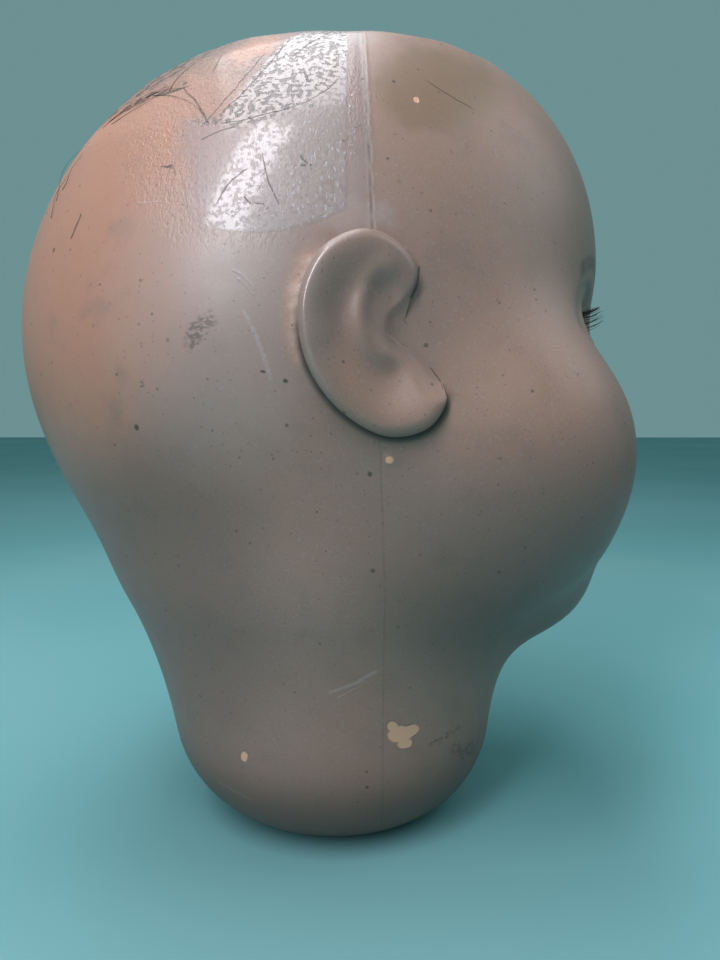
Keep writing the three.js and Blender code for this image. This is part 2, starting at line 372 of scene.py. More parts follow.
class Wire:
    """A socket of a finish, on which Python's operators build Math nodes."""

    def __init__(self, sheet: "FinishSheet", socket: bpy.types.NodeSocket) -> None:
        """Keeps the finish and the socket."""
        self.sheet = sheet
        self.socket = socket

    def twin(self, name: str) -> "Wire":
        """Another output of the same node."""
        return Wire(self.sheet, self.socket.node.outputs[name])

    def __add__(self, other: "Level") -> "Wire":
        """The sum."""
        return self.sheet.maths("ADD", self, other)

    def __radd__(self, other: "Level") -> "Wire":
        """The sum, with the number first."""
        return self.sheet.maths("ADD", other, self)

    def __sub__(self, other: "Level") -> "Wire":
        """The difference."""
        return self.sheet.maths("SUBTRACT", self, other)

    def __rsub__(self, other: "Level") -> "Wire":
        """The difference, with the number first."""
        return self.sheet.maths("SUBTRACT", other, self)

    def __mul__(self, other: "Level") -> "Wire":
        """The product."""
        return self.sheet.maths("MULTIPLY", self, other)

    def __rmul__(self, other: "Level") -> "Wire":
        """The product, with the number first."""
        return self.sheet.maths("MULTIPLY", other, self)

    def __abs__(self) -> "Wire":
        """The value without its sign."""
        return self.sheet.maths("ABSOLUTE", self)


Level = Wire | float
Plane = tuple[Wire, Wire]


class FinishSheet:
    """The node tree of one finish."""

    def __init__(self, name: str) -> None:
        """Starts an empty material of that name."""
        self.material = bpy.data.materials.new(name)
        self.material.use_nodes = True
        self.tree = self.material.node_tree
        self.tree.nodes.clear()

    def node(
        self,
        kind: str,
        settings: dict[str, Any] | None = None,
        sockets: dict[str | int, Any] | None = None,
        output: str | int = 0,
    ) -> Wire:
        """Adds a node, sets it first and then fills its sockets.

        Args:
            kind: the node's type.
            settings: its settings by name.
            sockets: values, or wires from other nodes, by the socket's name or number.
            output: the name or number of the output that is wanted.

        Returns:
            The wire of that output.
        """
        made = self.tree.nodes.new(kind)
        for name, value in (settings or {}).items():
            setattr(made, name, value)
        for name, value in (sockets or {}).items():
            if isinstance(value, Wire):
                self.tree.links.new(value.socket, made.inputs[name])
            else:
                made.inputs[name].default_value = value
        return Wire(self, made.outputs[output])

    def maths(self, operation: str, *values: Level) -> Wire:
        """A Math node on one to three values."""
        return self.node("ShaderNodeMath", {"operation": operation}, dict(enumerate(values)))

    def vector(self, operation: str, *values: Any, output: str = "Vector") -> Wire:
        """A Vector Math node on two vectors."""
        return self.node("ShaderNodeVectorMath", {"operation": operation}, dict(enumerate(values)), output)

    def scaled(self, vector: Wire, factor: Level) -> Wire:
        """A vector times a number."""
        return self.node("ShaderNodeVectorMath", {"operation": "SCALE"}, {0: vector, "Scale": factor})

    def split(self, vector: Wire) -> tuple[Wire, Wire, Wire]:
        """A vector's three parts."""
        first = self.node("ShaderNodeSeparateXYZ", None, {0: vector}, "X")
        return first, first.twin("Y"), first.twin("Z")

    def whole(self, x: Level, y: Level, z: Level) -> Wire:
        """A vector of three parts."""
        return self.node("ShaderNodeCombineXYZ", None, {0: x, 1: y, 2: z})

    def ease(self, value: Level, start: float, end: float) -> Wire:
        """A smooth step from 0 at start to 1 at end, which may be the smaller of the two."""
        low, high = min(start, end), max(start, end)
        sides = {"To Min": 0.0 if start < end else 1.0, "To Max": 1.0 if start < end else 0.0}
        return self.node(
            "ShaderNodeMapRange",
            {"interpolation_type": "SMOOTHSTEP"},
            {"Value": value, "From Min": low, "From Max": high, **sides},
        )

    def mix(self, share: Level, under: Any, over: Any, how: str = "MIX") -> Wire:
        """One colour laid over another, by a share from 0 to 1."""
        settings = {"data_type": "RGBA", "blend_type": how, "clamp_factor": True}
        return self.node("ShaderNodeMix", settings, {0: share, 6: under, 7: over}, 2)

    def noise(self, where: Wire, per_mm: float, detail: float = 2.0, distortion: float = 0.0) -> Wire:
        """Cloudy noise of about 0.3 to 0.7, with so many waves in a millimetre."""
        sockets = {"Vector": where, "Scale": per_mm, "Detail": detail, "Distortion": distortion}
        return self.node("ShaderNodeTexNoise", None, sockets, 0)

    def ruled(self, plane: "Plane", way: Place, start: float) -> Wire:
        """Distance along a direction in a plane, counted from a start."""
        return self.maths("MULTIPLY_ADD", plane[1], way[1], self.maths("MULTIPLY_ADD", plane[0], way[0], start))

    def attribute(self, name: str) -> Wire:
        """A number that the mesh keeps for each vertex."""
        return self.node("ShaderNodeAttribute", {"attribute_name": name}, None, "Fac")

    def millimetres(self) -> Wire:
        """The place on the piece, in millimetres in the frame of the part."""
        return self.scaled(self.node("ShaderNodeTexCoord", None, None, "Object"), 1 / METRES)

    def bumped(self, height: Wire) -> Wire:
        """A normal that leans as a relief of that height in millimetres does."""
        return self.node("ShaderNodeBump", None, {"Strength": 1.0, "Distance": METRES, "Height": height}, "Normal")

    def done(self, **sockets: Any) -> bpy.types.Material:
        """Closes the sheet with its shader.

        Args:
            **sockets: values or wires of the shader, with _ for each space of a socket's name.

        Returns:
            The finished material.
        """
        named = {name.replace("_", " "): value for name, value in sockets.items()}
        shader = self.node("ShaderNodeBsdfPrincipled", None, named, "BSDF")
        self.node_end(shader)
        return self.material

    def node_end(self, shader: Wire) -> None:
        """Leads the shader to the material's surface."""
        end = self.tree.nodes.new("ShaderNodeOutputMaterial")
        self.tree.links.new(shader.socket, end.inputs["Surface"])


@dataclass(frozen=True)
class Blot:
    """A patch with a soft, uneven edge, seen square to its plane."""

    at: Place
    half: Place
    turn: float = 0.0
    soft: float = 0.2

    def mask(self, sheet: FinishSheet, plane: Plane) -> Wire:
        """1 on the patch and 0 outside it."""
        turn = math.radians(self.turn)
        parts = []
        ways = ((math.cos(turn), math.sin(turn)), (-math.sin(turn), math.cos(turn)))
        for way, half in zip(ways, self.half):
            start = -(way[0] * self.at[0] + way[1] * self.at[1]) / half
            parts.append(sheet.ruled(plane, (way[0] / half, way[1] / half), start))
        far = parts[0] * parts[0] + parts[1] * parts[1]
        return sheet.ease(far, (1 + self.soft) ** 2, (1 - self.soft) ** 2)


@dataclass(frozen=True)
class Stroke:
    """A thin mark from one place to another, bowed to one side."""

    start: Place
    end: Place
    width: float = 0.3
    bow: float = 0.0

    def mask(self, sheet: FinishSheet, plane: Plane) -> Wire:
        """1 on the mark and 0 beside it."""
        run = (self.end[0] - self.start[0], self.end[1] - self.start[1])
        half = math.hypot(*run) / 2
        way = (run[0] / 2 / half, run[1] / 2 / half)
        middle = ((self.start[0] + self.end[0]) / 2, (self.start[1] + self.end[1]) / 2)
        along = sheet.ruled(
            plane, (way[0] / half, way[1] / half), -(way[0] * middle[0] + way[1] * middle[1]) / half
        )
        across = sheet.ruled(plane, (-way[1], way[0]), way[1] * middle[0] - way[0] * middle[1] - self.bow)
        if self.bow:
            across = across + along * along * self.bow
        return sheet.ease(abs(across), self.width * 0.65, self.width * 0.25) * sheet.ease(abs(along), 1.0, 0.8)


def covered(sheet: FinishSheet, marks: Sequence[Blot | Stroke], plane: Plane) -> Wire:
    """The union of several marks' masks."""
    whole = marks[0].mask(sheet, plane)
    for mark in marks[1:]:
        whole = sheet.maths("MAXIMUM", whole, mark.mask(sheet, plane))
    return whole


@dataclass(frozen=True)
class EyeCut:
    """The almond-shaped opening of an eye, seen from the front."""

    y: float = 20.5
    z: float = 107.0
    half: float = 11.0
    up: float = 6.8
    down: float = 5.4
    power: float = 2.2
    corners: int = 64
    near: float = 30.0
    far: float = 80.0

    def edge(self, turn: Array) -> Array:
        """Places of the opening's edge about its middle, by the turn round it."""
        share = np.cos(turn)
        height = np.where(np.sin(turn) >= 0, self.up, -self.down)
        return np.stack([self.half * share, height * (1 - np.abs(share) ** self.power)], -1)

    def outline(self) -> Outline:
        """The opening's edge about its middle."""
        return Outline(self.edge(np.linspace(0, 2 * math.pi, self.corners, endpoint=False)))

    def reach(self, points: Array) -> Array:
        """Distance to the edge of the nearer opening, seen from the front, 99 far from the eyes."""
        places = np.stack([np.abs(points[:, 1]) - self.y, points[:, 2] - self.z], -1)
        close = (points[:, 0] > self.near) & (np.hypot(*places.T) < 1.8 * self.half)
        reach = np.full(len(points), 99.0)
        reach[close] = self.outline().reach(places[close])
        return reach

    def tool(self, side: Side) -> bpy.types.Object:
        """The cutter along X that opens the shell for one eye."""
        depth = self.far - self.near
        piece = started(bpy.ops.mesh.primitive_cylinder_add, vertices=self.corners, radius=1, depth=depth)
        points = places_of(piece)
        edge = self.edge(np.arctan2(points[:, 1], points[:, 0]))
        along = (self.near + self.far) / 2 + points[:, 2]
        placed(piece, np.stack([along, side.value * self.y + edge[:, 0], self.z + edge[:, 1]], -1))
        turned_outwards(piece)
        return piece


@dataclass(frozen=True)
class Seam:
    """The line on both sides of the head where the two halves of the mould met."""

    x: float = 12.0
    bend_z: float = 60.0
    lean: float = 0.04
    height: float = 0.07
    width: float = 0.22

    def x_at(self, z: Array) -> Array:
        """How far forward the seam runs at a height."""
        return self.x - self.lean * np.maximum(z - self.bend_z, 0)

    def relief(self, points: Array) -> Array:
        """How far the seam's ridge stands up, with a shallow groove behind it."""
        beside = points[:, 0] - self.x_at(points[:, 2])
        worn = 0.75 + 0.25 * np.sin(points[:, 2] * 0.31) * np.sin(points[:, 2] * 0.83 + 2)
        above_ear = 0.3 + 0.7 * eased(points[:, 2], 88, 120)
        ridge = self.height * worn * bell(beside, self.width)
        return above_ear * (ridge - 0.1 * bell(beside + 0.85, 0.4))


@dataclass(frozen=True)
class Ear:
    """A moulded ear: a broad plate whose rim stands off the head, with a curved fold inside it.

    The outline runs from where the rim springs from the temple over the top, down the back and round the lobe
    to the open front: forward and up from the ear's middle, and how far the rim stands out there.
    """

    x: float = 10.5
    z: float = 105.5
    outline: tuple[Spot, ...] = (
        (4.4, 4.7, 0.8),
        (6, 9.4, 2.2),
        (3.6, 13.9, 3.2),
        (-2, 16.2, 4.2),
        (-8.9, 13.2, 5),
        (-12.5, 6.5, 5.6),
        (-12.6, -1, 5.6),
        (-10.6, -7, 5.2),
        (-5.5, -13, 4.6),
        (1.5, -16.4, 4),
        (8, -14.8, 3.4),
        (10.8, -9.5, 2.0),
        (8.2, -5, 0.6),
        (4, -1.5, 0.3),
    )
    middle: Place = (-1.5, 1.5)
    floor: float = 0.9
    back_floor: float = 2.6
    root: float = -1.2
    plate_share: float = 0.885
    plate_rings: int = 23
    edge: tuple[Place, ...] = (
        (0.905, 0.995),
        (0.925, 0.96),
        (0.946, 0.89),
        (0.967, 0.79),
        (0.987, 0.66),
        (1.0, 0.5),
        (0.985, 0.36),
        (0.95, 0.27),
    )
    root_rings: int = 5
    front_line: tuple[Place, ...] = ((4.2, 1.5), (4, -1.5), (8.2, -5), (9.4, -7))
    front_run: float = 4.0
    front_stand: float = -0.04
    sides: int = 112
    fold_at: Place = (1.0, 3.4)
    fold_half: Place = (4.1, 6.7)
    fold_height: float = 0.75
    fold_width: float = 0.32
    fold_fade: float = 3.5

    def rim(self, turn: Array) -> Array:
        """Points of the outline, as a closed curve through its named points.

        Args:
            turn: how far round the outline, from 0 to 1.

        Returns:
            Forward, up and out for each turn.
        """
        named = np.array(self.outline, float)
        where = (turn % 1) * len(named)
        first = np.floor(where).astype(int) % len(named)
        share = (where - np.floor(where))[:, None]
        p0, p1, p2, p3 = (named[(first + k) % len(named)] for k in (-1, 0, 1, 2))
        t0, t1, t2 = (
            np.sqrt(np.linalg.norm(b - a, axis=1, keepdims=True)) for a, b in ((p0, p1), (p1, p2), (p2, p3))
        )
        leave = ((p1 - p0) / t0 - (p2 - p0) / (t0 + t1) + (p2 - p1) / t1) * t1
        arrive = ((p2 - p1) / t1 - (p3 - p1) / (t1 + t2) + (p3 - p2) / t2) * t1
        square = -3 * p1 + 3 * p2 - 2 * leave - arrive
        cube = 2 * p1 - 2 * p2 + leave + arrive
        return p1 + share * (leave + share * (square + share * cube))

    def reach(self, points: Array) -> Array:
        """Distance to the outline of the nearer ear, seen from the side, 99 far from the ears."""
        places = np.stack([points[:, 0] - self.x, points[:, 2] - self.z], -1)
        close = (np.abs(points[:, 1]) > 40) & (np.hypot(*places.T) < 28)
        reach = np.full(len(points), 99.0)
        corners = self.rim(np.linspace(0, 1, 120, endpoint=False))[:, :2]
        reach[close] = Outline(corners).reach(places[close])
        return reach

    def fold(self, places: Array) -> Array:
        """How far the fold inside the rim stands up."""
        off = (places - np.array(self.fold_at)) / np.array(self.fold_half)
        open_front = 1 - eased(places[:, 0], self.fold_at[0], self.fold_at[0] + self.fold_fade)
        return self.fold_height * open_front * bell(np.hypot(*off.T) - 1, self.fold_width)

    def front(self, places: Array) -> Array:
        """The share of its height that the ear keeps near its open front, where it runs into the cheek."""
        there_and_back = self.front_line + self.front_line[-2:0:-1]
        gap = np.abs(Outline(np.array(there_and_back, float)).reach(places))
        return self.front_stand + (1 - self.front_stand) * eased(gap, 0, self.front_run)

    def profile(self) -> tuple[Array, Array, Array]:
        """The rings from the ear's middle over the rim and back under the skin.

        Returns:
            Share of the way to the outline, share of the rim's height, and how far sunk to the root.
        """
        plate = np.linspace(0, self.plate_share, self.plate_rings)
        edge, drop = np.array(self.edge).T
        root = np.linspace(0.9, 0, self.root_rings)
        shares = np.concatenate([plate, edge, root])
        heights = np.concatenate([eased(plate, 0.36, 0.9), drop, np.zeros(self.root_rings)])
        sunk = np.concatenate([np.zeros(len(plate) + len(edge)), np.ones(self.root_rings)])
        return shares, heights, sunk

    def build(self, form: HeadForm, side: Side) -> bpy.types.Object:
        """Shapes a ball into the ear of one side, set a little into the head."""
        shares, heights, sunk = self.profile()
        piece = started(bpy.ops.mesh.primitive_uv_sphere_add, segments=self.sides, ring_count=len(shares) - 1)
        ball = places_of(piece)
        ring = np.arccos(np.clip(ball[:, 2], -1, 1)) / math.pi * (len(shares) - 1)
        rim = self.rim(np.arctan2(ball[:, 1], ball[:, 0]) / (2 * math.pi))
        rings = np.arange(len(shares))
        share = np.interp(ring, rings, shares)[:, None]
        height = np.interp(ring, rings, heights)
        sink = np.interp(ring, rings, sunk)
        places = np.array(self.middle) + (rim[:, :2] - np.array(self.middle)) * share
        floor = self.floor + (self.back_floor - self.floor) * eased(places[:, 0], 3.5, -5)
        rise = (floor + (rim[:, 2] - floor) * height + self.fold(places)) * self.front(places)
        rise = rise * (1 - sink) + self.root * sink
        x, z = self.x + places[:, 0], self.z + places[:, 1]
        placed(piece, np.stack([x, side.value * (form.side_reach(x, z) + rise), z], -1))
        turned_outwards(piece)
        return piece


@dataclass
class PaintedHead:
    """The blown celluloid shell: skull, face and neck with ears, eye openings and a raw cut crown."""

    form: HeadForm = field(default_factory=HeadForm)
    ear: Ear = field(default_factory=Ear)
    eye_cut: EyeCut = field(default_factory=EyeCut)
    seam: Seam = field(default_factory=Seam)
    wall: float = 1.8
    crown: float = 163.0
    axis_x: float = 2.0
    hook_hole: float = 9.0
    hole_edge: float = 0.25
    seat_thickness: float = 2.4
    seat_inside: float = 13.0
    seat_fillet_top: float = 6.0
    front_columns: int = 76
    face_crowding: float = 0.55
    seam_steps: tuple[float, ...] = (0.2, 0.45, 0.8, 1.3)
    back_columns: int = 43
    rounding_rings: int = 14
    outside: tuple[tuple[float, int], ...] = ((46, 18), (62, 14), (122, 96), (162.75, 45))
    inside: tuple[tuple[float, int], ...] = ((124, 14), (84, 16), (20, 12))
    rim_round: float = 0.25

    def _angles(self, z: Array) -> Array:
        """The columns' angles round the head's axis for each ring, close at the face and along both seams.

        Args:
            z: each ring's height.

        Returns:
            One row of angles for each ring, from the face over the left side and back on the right.
        """
        level = np.maximum(z, self.seat_fillet_top)
        forward = self.seam.x_at(level)
        out = self.form.side_reach(forward, level)
        turn = np.arctan2(out, forward - self.axis_x)[:, None]
        steps = np.array([-s for s in reversed(self.seam_steps)] + [0.0] + list(self.seam_steps))
        cluster = turn + steps / np.hypot(out, forward - self.axis_x)[:, None]
        share = np.arange(self.front_columns) / self.front_columns
        share = share - self.face_crowding * np.sin(math.pi * share) / math.pi
        front = share * cluster[:, :1]
        back_share = np.arange(1, self.back_columns + 1) / self.back_columns
        back = cluster[:, -1:] + back_share * (math.pi - cluster[:, -1:])
        half = np.concatenate([front, cluster, back], 1)
        return np.concatenate([half, -half[:, -2:0:-1]], 1)

    def _rings(self) -> tuple[Array, Array]:
        """The height and the depth under the skin of each ring between the two seat rings."""

        def heights(bands: tuple[tuple[float, int], ...], start: float) -> list[float]:
            found: list[float] = []
            for end, count in bands:
                found += list(np.linspace(start, end, count + 1)[1:])
                start = end
            return found

        edge = self.form.neck.edge
        over = np.linspace(0, math.pi / 2, self.rounding_rings + 1)[1:]
        rounding = list(edge * (1 - np.cos(over)))
        outer = rounding + heights(self.outside, edge)
        inner = heights(self.inside, self.crown - self.rim_round) + [self.seat_fillet_top]
        rim = [self.crown] * 3 + [self.crown - self.rim_round]
        rim_depth = [-self.rim_round, -self.wall / 2, self.rim_round - self.wall, -self.wall]
        depths = [0.0] * len(outer) + rim_depth + [-self.wall] * len(inner)
        return np.array(outer + rim + inner), np.array(depths)

    def _face_relief(self, points: Array) -> Array:
        """The fine moulding of the face, as a height over the smooth skin."""
        across, z = np.abs(points[:, 1]), points[:, 2]
        front = eased(points[:, 0], 40, 50)
        groove = 0.55 * bell(across, 1.5) * bell(z - 84.3, 3.2)
        corner = 0.55 * bell(np.hypot(across - 10.2, z - 76.6), 2.0)
        under_lip = 0.5 * bell(across / 7, 1) * bell(z - 68, 1.6)
        chin_dimple = 0.35 * bell(np.hypot(across, z - 56), 3)
        nostril = np.linalg.norm(np.stack([points[:, 0] - 59.5, across - 3.7, z - 87.6], -1), axis=1)
        wing = 0.4 * bell(np.hypot(across - 9.8, (z - 91) / 2.2), 1.2)
        lids = self.eye_cut.reach(points)
        upper = eased(z, self.eye_cut.z - 1, self.eye_cut.z + 2)
        lid = 0.35 * bell(lids - 1.7, 0.9) - 0.55 * bell(lids, 0.5)
        crease = 0.42 * upper * eased(across, 10, 17) * bell(lids - 4.6, 0.9) + 0.1 * (1 - upper) * bell(lids - 3.9, 1)
        return lid - crease - front * (groove + corner + under_lip + chin_dimple + wing + 1.3 * bell(nostril, 1.6))

    def _relief(self, points: Array) -> Array:
        """Everything that stands off the smooth skin outside, in millimetres."""
        x, y, z = points.T
        sway = np.sin(0.11 * x + 1.3) * np.sin(0.13 * z + 0.4) + np.sin(0.09 * y + 0.07 * z)
        ear_gap = eased(self.ear.reach(points), -1.5, 1.5)
        flake = 0.55 * bell(np.hypot(x - 12.1, z - 85.2), 0.75) * (y < 0)
        return 0.05 * sway + self.seam.relief(points) * ear_gap + flake + self._face_relief(points)

    def _cut(self, points: Array) -> Array:
        """How far the uneven saw cut of the crown lies under its highest place."""
        angle = np.arctan2(points[:, 1], points[:, 0] - self.axis_x)
        uneven = 0.5 + 0.28 * np.sin(2 * angle + 0.6) + 0.14 * np.sin(7 * angle) + 0.1 * np.sin(17 * angle + 2)
        return 0.75 * np.clip(uneven, 0, 1) * eased(points[:, 2], self.crown - 6, self.crown)

    def _shell(self) -> bpy.types.Object:
        """Gives a ring of faces the form of the shell, ring by ring and column by column."""
        z, depth = self._rings()
        neck = self.form.neck
        angles = self._angles(z)
        start = np.stack([np.full_like(angles, self.axis_x), np.zeros_like(angles), z[:, None] + 0 * angles], -1)
        way = np.stack([np.cos(angles), np.sin(angles), np.zeros_like(angles)], -1)
        skin = start + way * self.form.reach(start, way, 6.0, depth[:, None])[..., None]
        shown = depth > -self.wall / 2
        points = skin[shown].reshape(-1, 3)
        raised = points + self.form.normal(points) * self._relief(points)[:, None]
        raised[:, 2] = np.where(points[:, 2] > self.crown - 1, points[:, 2], np.maximum(raised[:, 2], 0))
        skin[shown] = raised.reshape(skin[shown].shape)
        foot = angles[0]
        lip = self.hook_hole + self.hole_edge
        seat_out = neck.radius - neck.edge
        below = [(self.hook_hole, self.seat_thickness / 2), (self.hook_hole, self.hole_edge), (lip, 0.0)]
        below += [((lip + seat_out) / 2, 0.0), (seat_out, 0.0)]
        above = [(self.seat_inside, self.seat_thickness), (lip, self.seat_thickness)]
        above += [(self.hook_hole, self.seat_thickness - self.hole_edge)]
        grid = np.concatenate(
            [[neck.seat(foot, *ring) for ring in below], skin, [neck.seat(foot, *ring) for ring in above]]
        )
        rings, columns = grid.shape[:2]
        piece = started(
            bpy.ops.mesh.primitive_torus_add,
            major_segments=columns,
            minor_segments=rings,
            major_radius=2,
            minor_radius=1,
            generate_uvs=False,
        )
        points = grid.transpose(1, 0, 2).reshape(-1, 3)
        points[:, 2] -= self._cut(points)
        placed(piece, points)
        return piece

    def _soften_ears(self, piece: bpy.types.Object) -> None:
        """Runs the paint's small fillet round the foot of each ear."""
        points = places_of(piece)
        reach = self.ear.reach(points)
        near = np.abs(reach) < 1.6
        stand = np.full(len(points), 9.0)
        stand[near] = np.abs(points[near, 1]) - self.form.side_reach(points[near, 0], points[near, 2])
        chosen(piece)
        bpy.ops.object.mode_set(mode="EDIT")
        bpy.ops.mesh.select_all(action="DESELECT")
        bpy.ops.object.mode_set(mode="OBJECT")
        piece.data.vertices.foreach_set("select", near & (stand < 0.7))
        bpy.ops.object.mode_set(mode="EDIT")
        bpy.ops.mesh.vertices_smooth(factor=0.5, repeat=3)
        bpy.ops.mesh.select_all(action="DESELECT")
        bpy.ops.object.mode_set(mode="OBJECT")
        places = np.stack([points[:, 0] - self.ear.x, points[:, 2] - self.ear.z], -1)
        low = (reach < 2) & (places[:, 0] > 0) & (places[:, 1] < 2.5) & (self.ear.front(places) < 0.9)
        piece.data.vertices.foreach_set("select", low)
        bpy.ops.object.mode_set(mode="EDIT")
        bpy.ops.mesh.vertices_smooth(factor=0.5, repeat=6)
        bpy.ops.object.mode_set(mode="OBJECT")

    def _note_places(self, piece: bpy.types.Object) -> None:
        """Keeps what the finish needs to know about each vertex."""
        points = places_of(piece)
        depth = self.form.distance(points)
        reach = self.ear.reach(points)
        near = reach < 8
        stand = np.zeros(len(points))
        stand[near] = np.abs(points[near, 1]) - self.form.side_reach(points[near, 0], points[near, 2])
        noted(piece, "depth", depth)
        noted(piece, "ear_reach", reach)
        noted(piece, "ear_stand", stand)
        noted(piece, "lid_reach", self.eye_cut.reach(points))

    def build(self, finish: bpy.types.Material) -> bpy.types.Object:
        """Builds the shell with its ears and openings, in its place."""
        piece = self._shell()
        for side in Side:
            joined(piece, self.ear.build(self.form, side), "UNION")
        self._soften_ears(piece)
        for side in Side:
            joined(piece, self.eye_cut.tool(side), "DIFFERENCE")
        self._note_places(piece)
        finished(piece, "painted_head", finish, 50)
        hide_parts("head_shell")
        return piece


@dataclass
class GlassEye:
    """A blown glass eye with the low bulge of its clear front, fuller where it meets the lids."""

    centre: Spot = (35.3, 20.5, 107.0)
    radius: float = 13.8
    rise: float = 0.8
    front: float = 6.8
    fuller: float = 3.2
    sides: int = 64
    rings: int = 40

    def build(self, side: Side, finish: bpy.types.Material) -> bpy.types.Object:
        """Builds the eye of one side, looking forward."""
        piece = started(
            bpy.ops.mesh.primitive_uv_sphere_add, segments=self.sides, ring_count=self.rings, radius=self.radius
        )
        ball = places_of(piece)
        points = np.stack([ball[:, 2], ball[:, 1], -ball[:, 0]], -1)
        aslant = 2 * np.maximum(points[:, 0], 0) * np.hypot(points[:, 1], points[:, 2]) / self.radius**2
        points = points * (1 + self.fuller / self.radius * aslant[:, None] ** 4)
        off = np.hypot(points[:, 1], points[:, 2]) / self.front
        points[:, 0] += np.where((points[:, 0] > 0) & (off < 1), self.rise * (1 - off**2), 0)
        placed(piece, points + np.array([self.centre[0], side.value * self.centre[1], self.centre[2]]))
        finished(piece, f"glass_eye_{side.word}", finish, 60)
        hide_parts(f"eye_{side.word}")
        return piece


@dataclass
class Lashes:
    """The fringe of hair under each upper lid."""

    eye: GlassEye = field(default_factory=GlassEye)
    cut: EyeCut = field(default_factory=EyeCut)
    inner: float = -0.6
    outer: float = 0.84
    below: float = 0.5
    gap: float = 0.3
    length: float = 7.8
    straight: float = 0.56
    lift: float = 1.2
    fan: float = 3.0
    count: int = 56
    thickness: float = 0.2
    steps: int = 9
    seed: int = 5

    def build(self, side: Side, finish: bpy.types.Material) -> bpy.types.Object:
        """Builds the fringe of one side."""
        chance = np.random.default_rng(self.seed)
        out = np.linspace(0, 1, self.steps)
        paths = []
        for share in np.linspace(self.inner, self.outer, self.count):
            length = self.length * chance.uniform(0.78, 1.0)
            stray = chance.uniform(-0.5, 0.5)
            bend = np.maximum(0, (out - self.straight) / (1 - self.straight))
            across = share * self.cut.half
            up = self.cut.up * (1 - abs(share) ** self.cut.power) - self.below - chance.uniform(0, 0.3)
            root = math.sqrt((self.eye.radius + self.gap) ** 2 - across**2 - up**2)
            x = self.eye.centre[0] + root + length * out
            y = self.eye.centre[1] + across + self.fan * max(share, 0) * bend + stray * bend
            z = self.eye.centre[2] + up + self.lift * bend**2 * chance.uniform(0.8, 1.0)
            paths.append(np.stack([x, side.value * y, z], -1))
        piece = strands(paths, self.thickness)
        finished(piece, f"lashes_{side.word}", finish, 60)
        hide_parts(f"lash_{side.word}")
        return piece


@dataclass
class WigRemains:
    """Hairs of the lost wig that are still stuck in old glue on the right side of the skull."""

    form: HeadForm = field(default_factory=HeadForm)
    thickness: float = 0.09
    lift: float = 0.05
    seed: int = 11
    runs: tuple[tuple[Place, Place, float, float], ...] = (
        ((-49.8, 132.5), (-44.5, 144.5), 1.6, 0.9),
        ((-48.6, 134.5), (-45.5, 142.0), -1.0, 0.5),
        ((-50.5, 129.0), (-47.5, 138.5), 0.8, 0.3),
        ((-41.5, 146.4), (-31.0, 150.3), 0.9, 0.1),
        ((-40.5, 147.0), (-30.0, 149.6), 0.5, 0.1),
        ((-39.0, 146.2), (-27.5, 150.6), -0.7, 0.2),
        ((-32.0, 150.2), (-24.5, 150.0), 0.5, 0.1),
        ((-30.5, 150.0), (-19.0, 142.6), 1.4, 0.1),
        ((-27.0, 150.2), (-21.5, 158.4), 0.8, 0.1),
    )

    def build(self, finish: bpy.types.Material) -> bpy.types.Object:
        """Lays each hair along the skin, from one place to another as seen from the side."""
        chance = np.random.default_rng(self.seed)
        paths = []
        for start, end, bow, loose in self.runs:
            share = np.linspace(0, 1, 14)
            run = np.array(end) - np.array(start)
            beside = np.array([-run[1], run[0]]) / np.hypot(*run)
            waver = bow * np.sin(math.pi * share) + 0.12 * np.sin(9 * share + chance.uniform(0, 6))
            places = np.array(start) + share[:, None] * run + waver[:, None] * beside
            y = self.form.side_reach(places[:, 0], places[:, 1])
            points = np.stack([places[:, 0], -y, places[:, 1]], -1)
            off = self.lift + loose * np.sin(math.pi * share) ** 2
            paths.append(points + self.form.normal(points) * off[:, None])
        piece = strands(paths, self.thickness)
        finished(piece, "wig_hair_remains", finish, 60)
        return piece


